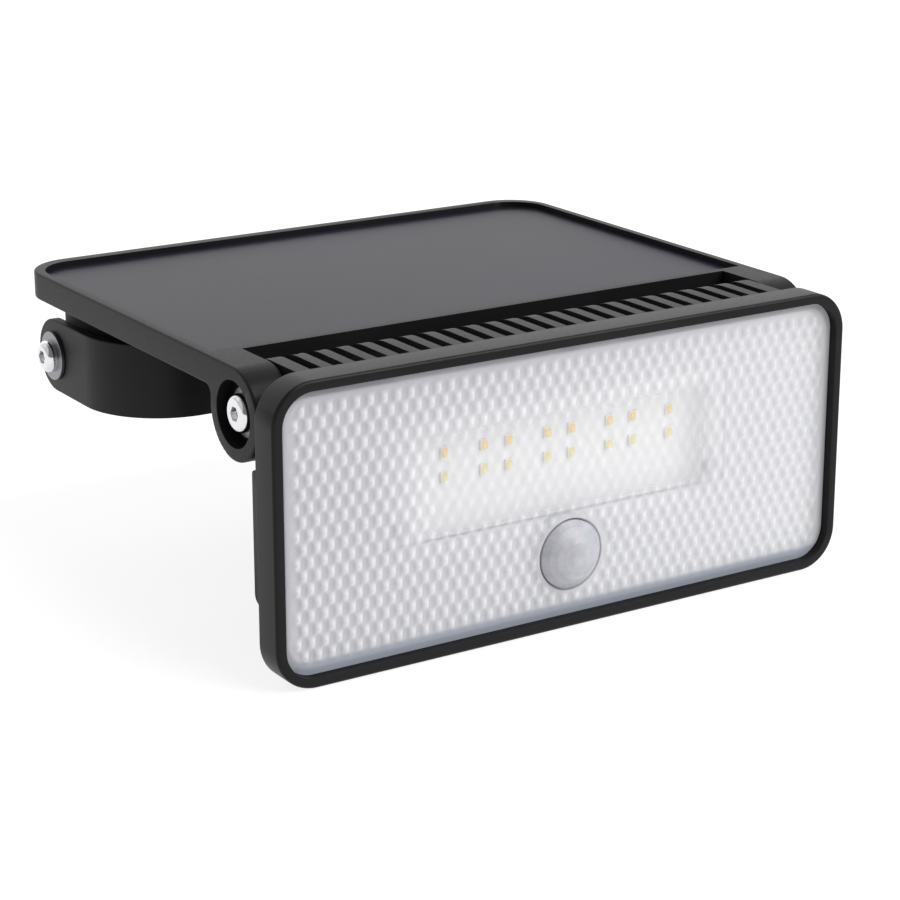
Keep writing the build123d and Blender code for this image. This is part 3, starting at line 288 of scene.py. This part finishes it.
def powder_coat(name, colour):
    """Powder-coated steel: an even satin skin with the faint orange peel of melted powder."""
    material, tree, shader, place = new_material(name)
    peel = add(tree, "ShaderNodeTexVoronoi", [(place, "Vector")], Scale=1 / (1.1 * MM),
               feature="SMOOTH_F1", Smoothness=0.8)
    cloud = noise(tree, place, 22, 3.0)
    base = linear(colour)
    finish(tree, shader, Base_Color=shades(tree, cloud, scaled(base, 0.85), scaled(base, 1.2)),
           Roughness=ranged(tree, cloud, 0.4, 0.5),
           Normal=relief(tree, peel.outputs["Distance"], 0.18, 0.08), Specular_IOR_Level=0.2)
    return material


def turned_metal(name, colour, roughness, line_mm=0.25):
    """Bright plated steel with the fine rings that a lathe leaves, so its gloss is drawn out a little."""
    material, tree, shader, place = new_material(name)
    rings = noise(tree, place, line_mm)
    base = linear(colour)
    finish(tree, shader, Base_Color=shades(tree, rings, scaled(base, 0.88), base),
           Roughness=ranged(tree, rings, roughness * 0.6, roughness * 1.5),
           Normal=relief(tree, rings, 0.05, 0.02), Metallic=1.0)
    return material


def plain_finish(name, colour, roughness, grain_mm=2.0, contrast=0.15, depth=0.1):
    """Rubber, film, solder mask and small mouldings: one colour with a soft mottle and a slight grain."""
    material, tree, shader, place = new_material(name)
    grain = noise(tree, place, grain_mm, 4.0)
    base = linear(colour)
    finish(tree, shader, Roughness=roughness, Normal=relief(tree, grain, depth, 0.05),
           Base_Color=shades(tree, grain, scaled(base, 1 - contrast), scaled(base, 1 + contrast)))
    return material


def prismatic_polycarbonate(name):
    """Clear polycarbonate moulded with small prisms. They scatter so much light that the sheet reads as
    milky white;
    its greyer pits are painted shade, made paler towards the right end by painted light. What lies behind
    it shows through softly, most over the LED board, and its plain lower border takes the blue-grey painted
    shade of the seal."""
    material, tree, shader, place = new_material(name)
    parts = add(tree, "ShaderNodeSeparateXYZ", [(place, 0)])
    front = span("front_lens", 1)[0]
    low = span("front_lens", 2)[0]
    # painted shade: the pits are coloured grey by their depth behind the front face, and painted light
    # makes that grey paler towards the right end
    depth = ranged(tree, parts.outputs["Y"], 0.0, 1.0, front + 0.05 * MM, front - 0.60 * MM)
    along = ranged(tree, parts.outputs["X"], 0.0, 1.0, *span("front_lens", 0))
    pits = shades(tree, along, linear("#CACAD0"), linear("#EBEBEF"), 0.1, 0.95)
    milk = add(tree, "ShaderNodeMix", [(depth, 0), (pits, 6)], data_type="RGBA")
    milk.inputs[7].default_value = linear("#FFFFFF")
    # painted shade: the plain lower border is tinted blue-grey #C3C9D6, the seal seen in shade, fading out
    # 3 to 4.2 mm above the lens bottom
    rise = ranged(tree, parts.outputs["Z"], 0.0, 1.0, low + 3.0 * MM, low + 4.2 * MM)
    painted_shade_tint = add(tree, "ShaderNodeMix", [(rise, 0), (milk.outputs[2], 7)], data_type="RGBA")
    painted_shade_tint.inputs[6].default_value = linear("#C3C9D6")
    finish(tree, shader, Base_Color=painted_shade_tint.outputs[2],
           Roughness=ranged(tree, noise(tree, place, 14, 3.0), 0.10, 0.18),
           Alpha=ranged(tree, board_mask(tree, parts), 0.54, 0.24), IOR=1.58)
    return material


def board_mask(tree, parts):
    """One in front of the LED board and zero elsewhere, with a soft edge."""
    masks = []
    for axis, number, inset, fade in (("X", 0, 8 * MM, 8 * MM), ("Z", 2, 0, 5 * MM)):
        low, high = span("led_board", number)
        away = add(tree, "ShaderNodeMath", [(parts.outputs[axis], 0)], operation="SUBTRACT")
        away.inputs[1].default_value = (low + high) / 2
        away = add(tree, "ShaderNodeMath", [(away.outputs[0], 0)], operation="ABSOLUTE")
        half = (high - low) / 2
        masks.append(ranged(tree, away.outputs[0], 1.0, 0.0, half - inset - fade, half - inset))
    both = add(tree, "ShaderNodeMath", [(masks[0], 0), (masks[1], 1)], operation="MULTIPLY")
    return both.outputs[0]


def solar_film(name):
    """Stippled smoky sheet over the cells: it blurs what it mirrors and hides the cell edges."""
    material, tree, shader, place = new_material(name)
    stipple = add(tree, "ShaderNodeTexVoronoi", [(place, "Vector")], Scale=1 / (0.8 * MM))
    cloud = noise(tree, place, 60)
    finish(tree, shader, Base_Color=shades(tree, cloud, linear("#1D1C25"), linear("#232230")),
           Normal=relief(tree, stipple.outputs["Distance"], 0.25, 0.06), Roughness=0.3,
           Specular_IOR_Level=0.09, Specular_Tint=linear("#EDEBFF"), IOR=1.5, Alpha=0.82)
    return material


def silicon_cell(name):
    """Monocrystalline silicon: near black with a violet cast, and thin silver fingers across it."""
    material, tree, shader, place = new_material(name)
    fingers = add(tree, "ShaderNodeTexWave", [(place, "Vector")], bands_direction="Y",
                  Scale=1 / (2.2 * MM) / math.pi, Distortion=0.0)
    dark = shades(tree, noise(tree, place, 12), linear("#15151B"), linear("#1E1E26"))
    line = shades(tree, fingers.outputs[0], (0, 0, 0, 1), (1, 1, 1, 1), 0.965, 0.985)
    mixed = add(tree, "ShaderNodeMix", [(line, 0), (dark, 6)], data_type="RGBA")
    mixed.inputs[7].default_value = linear("#3C3C44")
    finish(tree, shader, Base_Color=mixed.outputs[2], Roughness=0.35)
    return material


def polyethylene(name):
    """Milky high-density polyethylene: light spreads inside it, so its shading is soft."""
    material, tree, shader, place = new_material(name)
    milk = shades(tree, noise(tree, place, 5), linear("#A9A9B0"), linear("#BDBDC4"))
    finish(tree, shader, Base_Color=milk, Roughness=0.38, Subsurface_Weight=0.35,
           Subsurface_Scale=2 * MM, IOR=1.54)
    return material


def phosphor(name, dark, light):
    """Phosphor gel in an unlit white LED: matt yellow, a little uneven."""
    material, tree, shader, place = new_material(name)
    gel = shades(tree, noise(tree, place, 0.4), linear(dark), linear(light))
    finish(tree, shader, Base_Color=gel, Roughness=0.3)
    return material


def gasket_silicone(name):
    """Soft silicone seal behind the lens: pale grey, with painted shade that makes it bluer and darker
    along its lower run.
    """
    material, tree, shader, place = new_material(name)
    parts = add(tree, "ShaderNodeSeparateXYZ", [(place, 0)])
    low = span("lens_gasket", 2)[0]
    # painted shade: #B4BBCA at the seal's bottom, fading up to #DADCE0 between 4 and 9 mm above it
    height = ranged(tree, parts.outputs["Z"], 0.0, 1.0, low + 4 * MM, low + 9 * MM)
    finish(tree, shader, Base_Color=shades(tree, height, linear("#B4BBCA"), linear("#DADCE0"), 0.0, 1.0),
           Normal=relief(tree, noise(tree, place, 0.9), 0.1, 0.05), Roughness=0.55)
    return material


# ------------------------------------------------------------------ settings

class FloodLightSizes(bpy.types.PropertyGroup):
    """Sizes of the pieces that are built here."""
    prism_pitch: FloatProperty(name="Prism pitch", description="Distance between prisms in a row",
                               default=4.5 * MM, unit="LENGTH")
    prism_row: FloatProperty(name="Prism row", description="Distance between rows of prisms",
                             default=4.05 * MM, unit="LENGTH")
    prism_height: FloatProperty(name="Prism height", description="From the pits to the tips",
                                default=1.35 * MM, unit="LENGTH")
    prism_border: FloatProperty(name="Plain border", description="Plain edge round the prisms",
                                default=3.6 * MM, unit="LENGTH")
    dome_rings: IntProperty(name="Dome rings", description="Rings of facets on the sensor dome",
                            default=5, min=2, max=8)
    dome_facets: IntProperty(name="Dome facets", description="Facets in a ring of the sensor dome",
                             default=18, min=8, max=48)


class FloodLightColours(bpy.types.PropertyGroup):
    """Settings of the stage and the main finishes."""
    floor: FloatVectorProperty(name="Floor", description="Colour of the floor", subtype="COLOR",
                               size=4, default=(0.25, 0.25, 0.25, 1.0), min=0, max=1)
    housing: FloatVectorProperty(name="Housing", description="Colour of the black plastic", subtype="COLOR",
                                 size=4, default=linear("#141416"), min=0, max=1)
    key: FloatProperty(name="Key light", description="Strength of the main light", default=2.9)
    fill: FloatProperty(name="Fill light", description="Strength of the light from the left", default=0.38)
    sky: FloatProperty(name="Sky", description="Strength of the light from behind", default=1.35)


# ------------------------------------------------------------------ operators

class FLOODLIGHT_OT_stage(bpy.types.Operator):
    """Pale floor, soft lights and the camera"""
    bl_idname = "flood_light.stage"
    bl_label = "Stage"

    def execute(self, context):
        colours = context.scene.flood_light_colours
        bm = bmesh.new()
        bmesh.ops.create_grid(bm, x_segments=1, y_segments=1, size=8)
        bmesh.ops.translate(bm, verts=bm.verts[:], vec=(0, 0, CAD_BOX[0][2] - FLOOR_GAP))
        material, tree, shader, place = new_material("painted_floor")
        finish(tree, shader, Base_Color=colours.floor, Roughness=0.9, Emission_Color=(1, 1, 1, 1),
               Emission_Strength=0.82)
        object_from(bm, "floor", material, smooth=False)
        for name, towards, power, spread in (("key_light", (0.45, -0.62, 0.7), colours.key, 50),
                                             ("fill_light", (-0.85, 0.25, 0.45), colours.fill, 60)):
            lamp = bpy.data.lights.new(name, "SUN")
            lamp.energy = power
            lamp.angle = math.radians(spread)
            light = bpy.data.objects.new(name, lamp)
            context.scene.collection.objects.link(light)
            light.rotation_euler = Vector(towards).to_track_quat("Z", "Y").to_euler()
        context.scene.world = white_studio(colours.sky)
        context.scene.view_settings.view_transform = "Standard"
        camera = bpy.data.cameras.new("camera")
        camera.lens = CAMERA_LENS
        camera.sensor_width = 36
        viewer = bpy.data.objects.new("camera", camera)
        context.scene.collection.objects.link(viewer)
        viewer.location = CAMERA_PLACE
        viewer.rotation_euler = (math.radians(90 - CAMERA_DOWN), 0, math.radians(CAMERA_TURN))
        context.scene.camera = viewer
        return {"FINISHED"}


def white_studio(strength):
    """Surroundings that are seen as white, and that light the object most from behind and above."""
    world = bpy.data.worlds.new("white_studio")
    world.use_nodes = True
    tree = world.node_tree
    tree.nodes.clear()
    direction = tree.nodes.new("ShaderNodeTexCoord").outputs["Generated"]
    facing = add(tree, "ShaderNodeVectorMath", [(direction, 0)], operation="DOT_PRODUCT")
    facing.inputs[1].default_value = Vector((0.30, 0.85, 0.30)).normalized()
    level = ranged(tree, facing.outputs["Value"], 0.15 * strength, strength, 0.25, 0.95)
    lighting = add(tree, "ShaderNodeBackground", [(level, "Strength")])
    lighting.inputs["Color"].default_value = (1, 1, 1, 1)
    seen = add(tree, "ShaderNodeBackground", Strength=1.0)
    seen.inputs["Color"].default_value = (1, 1, 1, 1)
    ray = tree.nodes.new("ShaderNodeLightPath")
    both = add(tree, "ShaderNodeMixShader", [(ray.outputs["Is Camera Ray"], 0), (lighting.outputs[0], 1),
                                             (seen.outputs[0], 2)])
    output = tree.nodes.new("ShaderNodeOutputWorld")
    tree.links.new(both.outputs[0], output.inputs["Surface"])
    return world


class FLOODLIGHT_OT_housings(bpy.types.Operator):
    """Textured black plastic on the tray, the head and the battery box, and the coated bracket"""
    bl_idname = "flood_light.housings"
    bl_label = "Housings"

    def execute(self, context):
        black = context.scene.flood_light_colours.housing
        shell = textured_abs("textured_black_abs", black, 0.45)
        for node, name in (("panel_tray", "tray_shell"), ("battery_box", "box_shell"),
                           ("head_housing", "vented_housing")):
            stand_for(node, eased_copy(node, name, shell, 0.35))
        satin = textured_abs("satin_black_abs", [c * 0.86 for c in black], 0.38, depth=0.15)
        stand_for("head_frame", eased_copy("head_frame", "front_frame", satin, 0.3))
        coat = powder_coat("powder_coated_steel", "#17171A")
        stand_for("wall_bracket", eased_copy("wall_bracket", "steel_strap", coat, 0.35))
        return {"FINISHED"}


class FLOODLIGHT_OT_solar_panel(bpy.types.Operator):
    """Cells and their clear sheet"""
    bl_idname = "flood_light.solar_panel"
    bl_label = "Solar panel"

    def execute(self, context):
        finish_nodes(solar_film("stippled_solar_sheet"), "solar_glass")
        finish_nodes(silicon_cell("silicon_cell"), "solar_cells")
        finish_nodes(plain_finish("black_backsheet", "#101014", 0.5), "solar_backsheet")
        return {"FINISHED"}


class FLOODLIGHT_OT_lens(bpy.types.Operator):
    """Clear lens with staggered rows of small prisms and a sloping plain border"""
    bl_idname = "flood_light.lens"
    bl_label = "Lens"

    def execute(self, context):
        sizes = context.scene.flood_light_sizes
        width, thick, height = (size("front_lens", axis) for axis in range(3))
        centre = middle("front_lens")
        dome = middle("pir_dome") - centre
        hole = size("pir_ring", 0) / 2 + LENS_HOLE_GAP
        board = Vector([size("led_board", axis) / 2 for axis in range(3)])
        board_rise = middle("led_board").z - centre.z
        step_x = sizes.prism_pitch / LENS_STEPS[0]
        step_z = sizes.prism_row / LENS_STEPS[1]
        columns = 2 * math.ceil((width / 2 + MM) / step_x)
        rows = 2 * math.ceil((height / 2 + MM) / step_z)
        bm = bmesh.new()
        bmesh.ops.create_grid(bm, x_segments=columns, y_segments=rows, size=0.5)
        bmesh.ops.scale(bm, verts=bm.verts[:], vec=(columns * step_x, rows * step_z, 1))
        front = bm.verts[:]
        below = bmesh.ops.extrude_face_region(bm, geom=bm.faces[:], use_keep_orig=True)
        bmesh.ops.translate(bm, verts=[v for v in below["geom"] if isinstance(v, bmesh.types.BMVert)],
                            vec=(0, 0, -thick))
        for v in front:
            room = inside_rounded(v.co.x, v.co.y, width, height, LENS_CORNER)
            ring_room = math.hypot(v.co.x - dome.x, v.co.y - dome.z) - hole - LENS_RING_MARGIN
            fade = max(0.0, min(1.0, min(room - sizes.prism_border, ring_room) / LENS_FADE))
            slope = max(0.0, 1 - room / LENS_BEVEL[0])
            over_board = min(board.x - abs(v.co.x), board.z - abs(v.co.y - board_rise))
            calm = 1 - LENS_CALM * max(0.0, min(1.0, over_board / LENS_CALM_EDGE + 0.5))
            v.co.z += calm * fade * prism_at(v.co.x, v.co.y, sizes) - slope * LENS_BEVEL[1]
        clear = prismatic_polycarbonate("prismatic_polycarbonate")
        slab = object_from(bm, "prism_slab", clear)
        outline = rounded_plate(width, height, LENS_CORNER, 4 * thick)
        bmesh.ops.translate(outline, verts=outline.verts[:], vec=(0, 0, -2 * thick))
        outline = object_from(outline, "lens_outline", clear)
        bm = bmesh.new()
        bmesh.ops.create_cone(bm, cap_ends=True, segments=96, radius1=hole, radius2=hole, depth=6 * thick)
        bmesh.ops.translate(bm, verts=bm.verts[:], vec=(dome.x, dome.z, 0))
        bore = object_from(bm, "lens_bore", clear)
        for other, operation in ((outline, "INTERSECT"), (bore, "DIFFERENCE")):
            trim = slab.modifiers.new(other.name, "BOOLEAN")
            trim.object = other
            trim.operation = operation
            trim.solver = "EXACT"
        shape = bpy.data.meshes.new_from_object(slab.evaluated_get(context.evaluated_depsgraph_get()))
        for other in (slab, outline, bore):
            bpy.data.objects.remove(other)
        shape.transform(Matrix.Translation((centre.x, span("front_lens", 1)[0], centre.z)) @ facing_front())
        lens = bpy.data.objects.new("prismatic_lens", shape)
        context.scene.collection.objects.link(lens)
        keep_edges(lens, 50)
        stand_for("front_lens", lens)
        return {"FINISHED"}


def inside_rounded(x, y, width, height, corner):
    """How far a point lies inside a rectangle with round corners."""
    over_x = max(abs(x) - (width / 2 - corner), 0)
    over_y = max(abs(y) - (height / 2 - corner), 0)
    straight = min(width / 2 - abs(x), height / 2 - abs(y))
    return corner - math.hypot(over_x, over_y) if over_x and over_y else straight


def prism_at(x, y, sizes):
    """Height of the staggered prisms at a point on the lens, like an egg crate with narrow tips."""
    wave = math.cos(2 * math.pi * x / sizes.prism_pitch) * math.cos(math.pi * y / sizes.prism_row)
    return sizes.prism_height * ((0.5 + 0.5 * wave) ** PRISM_SHARPNESS - PRISM_PIT)


class FLOODLIGHT_OT_lights(bpy.types.Operator):
    """White reflector and LED board, and LED packages with their phosphor"""
    bl_idname = "flood_light.lights"
    bl_label = "Reflector and LEDs"

    def execute(self, context):
        finish_nodes(plain_finish("white_reflector_abs", "#E4E4E8", 0.35, contrast=0.03), "reflector")
        finish_nodes(plain_finish("white_solder_mask", "#FBFBFA", 0.3, contrast=0.01), "led_board")
        face, back = span("led_chips", 1)
        warm = phosphor("warm_phosphor", "#FAC92A", "#FFD540")
        pale = phosphor("pale_phosphor", "#F0DC72", "#F7E584")
        bodies = bmesh.new()
        gels = {"warm": bmesh.new(), "pale": bmesh.new()}
        centres = chip_centres("led_chips")
        row_middle = sum(z for x, z in centres) / len(centres)
        for x, z in centres:
            at = Matrix.Translation((x, back, z)) @ facing_front()
            body = rounded_plate(*LED_BODY, back - face - LED_GEL_PROUD, 2)
            join(bodies, body, at)
            gel = rounded_plate(*LED_GEL, back - face, 3)
            join(gels["warm" if z > row_middle else "pale"], gel, at)
        white = plain_finish("white_led_body", "#F4F4F2", 0.4, contrast=0.02)
        for bm, name, material in ((bodies, "led_bodies", white), (gels["warm"], "warm_leds", warm),
                                   (gels["pale"], "pale_leds", pale)):
            stand_for("led_chips", object_from(bm, name, material, smooth=False))
        return {"FINISHED"}


def join(target, source, at):
    """Adds a small bmesh to a larger one at a place, and frees it."""
    bmesh.ops.transform(source, matrix=at, verts=source.verts[:])
    mesh = bpy.data.meshes.new("part")
    source.to_mesh(mesh)
    source.free()
    target.from_mesh(mesh)
    bpy.data.meshes.remove(mesh)


def chip_centres(node):
    """Centres in X and Z of the separate solids in a CAD node."""
    bm = bmesh.new()
    bm.from_mesh(NODES[node].data)
    bmesh.ops.remove_doubles(bm, verts=bm.verts[:], dist=WELD)
    left = set(bm.verts)
    centres = []
    while left:
        start = left.pop()
        island = {start}
        waiting = [start]
        while waiting:
            vert = waiting.pop()
            fresh = {edge.other_vert(vert) for edge in vert.link_edges} - island
            island |= fresh
            waiting += fresh
        left -= island
        xs = [v.co.x for v in island]
        zs = [v.co.z for v in island]
        centres.append(((min(xs) + max(xs)) / 2, (min(zs) + max(zs)) / 2))
    bm.free()
    return sorted(centres)


class FLOODLIGHT_OT_sensor(bpy.types.Operator):
    """Motion sensor dome with rings of facets, its ring, and the sensor behind it"""
    bl_idname = "flood_light.sensor"
    bl_label = "Motion sensor"

    def execute(self, context):
        sizes = context.scene.flood_light_sizes
        centre = middle("pir_dome")
        tip, seat = span("pir_dome", 1)
        shoulder = span("front_lens", 1)[0]
        outer = size("pir_dome", 0) / 2
        rise = shoulder - tip
        ball = (outer**2 + rise**2) / (2 * rise)
        reach = math.asin(outer / ball)
        bm = bmesh.new()
        rings = sizes.dome_rings
        angles = [reach * i / rings for i in range(rings + 1)]
        arc = [Vector((ball * math.sin(a), 0, -tip - ball * (1 - math.cos(a)))) for a in angles]
        hollow = ball - DOME_WALL
        inner = outer - DOME_WALL
        inner_reach = math.asin(inner / hollow)
        angles = [inner_reach * i / rings for i in range(rings, -1, -1)]
        floor = tip + DOME_WALL
        bore = [Vector((hollow * math.sin(a), 0, -floor - hollow * (1 - math.cos(a)))) for a in angles]
        profile = arc + [Vector((outer, 0, -seat)), Vector((inner, 0, -seat))] + bore
        points = [bm.verts.new(point) for point in profile]
        edges = [bm.edges.new(pair) for pair in zip(points, points[1:])]
        bmesh.ops.spin(bm, geom=points + edges, cent=(0, 0, 0), axis=(0, 0, 1), dvec=(0, 0, 0),
                       angle=2 * math.pi, steps=sizes.dome_facets * 2, use_merge=True)
        bmesh.ops.remove_doubles(bm, verts=bm.verts[:], dist=0.002 * MM)
        turned = Matrix.Translation((centre.x, 0, centre.z)) @ facing_front()
        bmesh.ops.transform(bm, matrix=turned, verts=bm.verts[:])
        ring = plain_finish("white_ring_abs", "#B9BAC0", 0.45, contrast=0.04)
        stand_for("pir_ring", eased_copy("pir_ring", "sensor_ring", ring, 0.15))
        dome = object_from(bm, "faceted_dome", polyethylene("milky_polyethylene"), smooth=False)
        stand_for("pir_dome", dome)
        finish_nodes(turned_metal("sensor_can_steel", "#A8A8A8", 0.3), "pir_sensor")
        return {"FINISHED"}


class FLOODLIGHT_OT_screws(bpy.types.Operator):
    """Screws, washers, nuts and friction discs"""
    bl_idname = "flood_light.screws"
    bl_label = "Screws"

    def execute(self, context):
        bright = turned_metal("bright_plated_steel", "#E6E6E8", 0.14)
        satin = turned_metal("satin_plated_washer", "#8E8F94", 0.32)
        for joint in ("pivot", "hinge"):
            screws = joint + "_screws"
            washers = joint + "_washers"
            stand_for(screws, eased_copy(screws, joint + "_button_heads", bright, 0.2))
            stand_for(washers, eased_copy(washers, joint + "_plain_washers", satin, 0.2))
        finish_nodes(bright, "pivot_nuts", "hinge_nuts")
        zinc = turned_metal("zinc_plated_steel", "#B9BABD", 0.28)
        finish_nodes(zinc, "box_screws", "short_screws", "long_screws", "led_board_screws")
        nylon = plain_finish("grey_nylon", "#3A3A3C", 0.5)
        finish_nodes(nylon, "pivot_friction_discs", "hinge_friction_discs")
        return {"FINISHED"}


class FLOODLIGHT_OT_inside(bpy.types.Operator):
    """Seals, batteries, boards and the mode button"""
    bl_idname = "flood_light.inside"
    bl_label = "Seals and electronics"

    def execute(self, context):
        finish_nodes(plain_finish("seal_rubber", "#1B1B1B", 0.7), "box_gasket")
        finish_nodes(gasket_silicone("pale_silicone"), "lens_gasket")
        finish_nodes(plain_finish("blue_shrink_film", "#1E5C8C", 0.3), "battery_cells")
        finish_nodes(plain_finish("grey_cradle_abs", "#77787A", 0.5), "battery_cradle")
        finish_nodes(turned_metal("nickel_strip", "#BDB9AE", 0.3), "battery_tabs")
        finish_nodes(plain_finish("green_solder_mask", "#1E5A34", 0.3), "charge_board", "switch_board",
                     "sensor_board")
        finish_nodes(plain_finish("component_black", "#202022", 0.45), "charge_components",
                     "tactile_switch", "switch_plunger")
        finish_nodes(plain_finish("button_rubber", "#35353A", 0.6), "mode_button")
        return {"FINISHED"}


class FLOODLIGHT_PT_panel(bpy.types.Panel):
    """Lists the settings and the pieces"""
    bl_idname = "FLOODLIGHT_PT_panel"
    bl_label = "Flood light"
    bl_space_type = "VIEW_3D"
    bl_region_type = "UI"
    bl_category = "Flood light"

    def draw(self, context):
        for group in (context.scene.flood_light_sizes, context.scene.flood_light_colours):
            for name in group.__annotations__:
                self.layout.prop(group, name)
        for operator in OPERATORS:
            self.layout.operator(operator.bl_idname)


OPERATORS = (FLOODLIGHT_OT_stage, FLOODLIGHT_OT_housings, FLOODLIGHT_OT_solar_panel, FLOODLIGHT_OT_lens,
             FLOODLIGHT_OT_lights, FLOODLIGHT_OT_sensor, FLOODLIGHT_OT_screws, FLOODLIGHT_OT_inside)
CLASSES = (FloodLightSizes, FloodLightColours) + OPERATORS + (FLOODLIGHT_PT_panel,)


def register():
    for cls in CLASSES:
        bpy.utils.register_class(cls)
    bpy.types.Scene.flood_light_sizes = PointerProperty(type=FloodLightSizes)
    bpy.types.Scene.flood_light_colours = PointerProperty(type=FloodLightColours)


def unregister():
    del bpy.types.Scene.flood_light_colours
    del bpy.types.Scene.flood_light_sizes
    for cls in reversed(CLASSES):
        bpy.utils.unregister_class(cls)


def main():
    register()
    for operator in OPERATORS:
        name = operator.bl_idname.split(".")[1]
        getattr(bpy.ops.flood_light, name)()


if __name__ == "__main__":
    main()
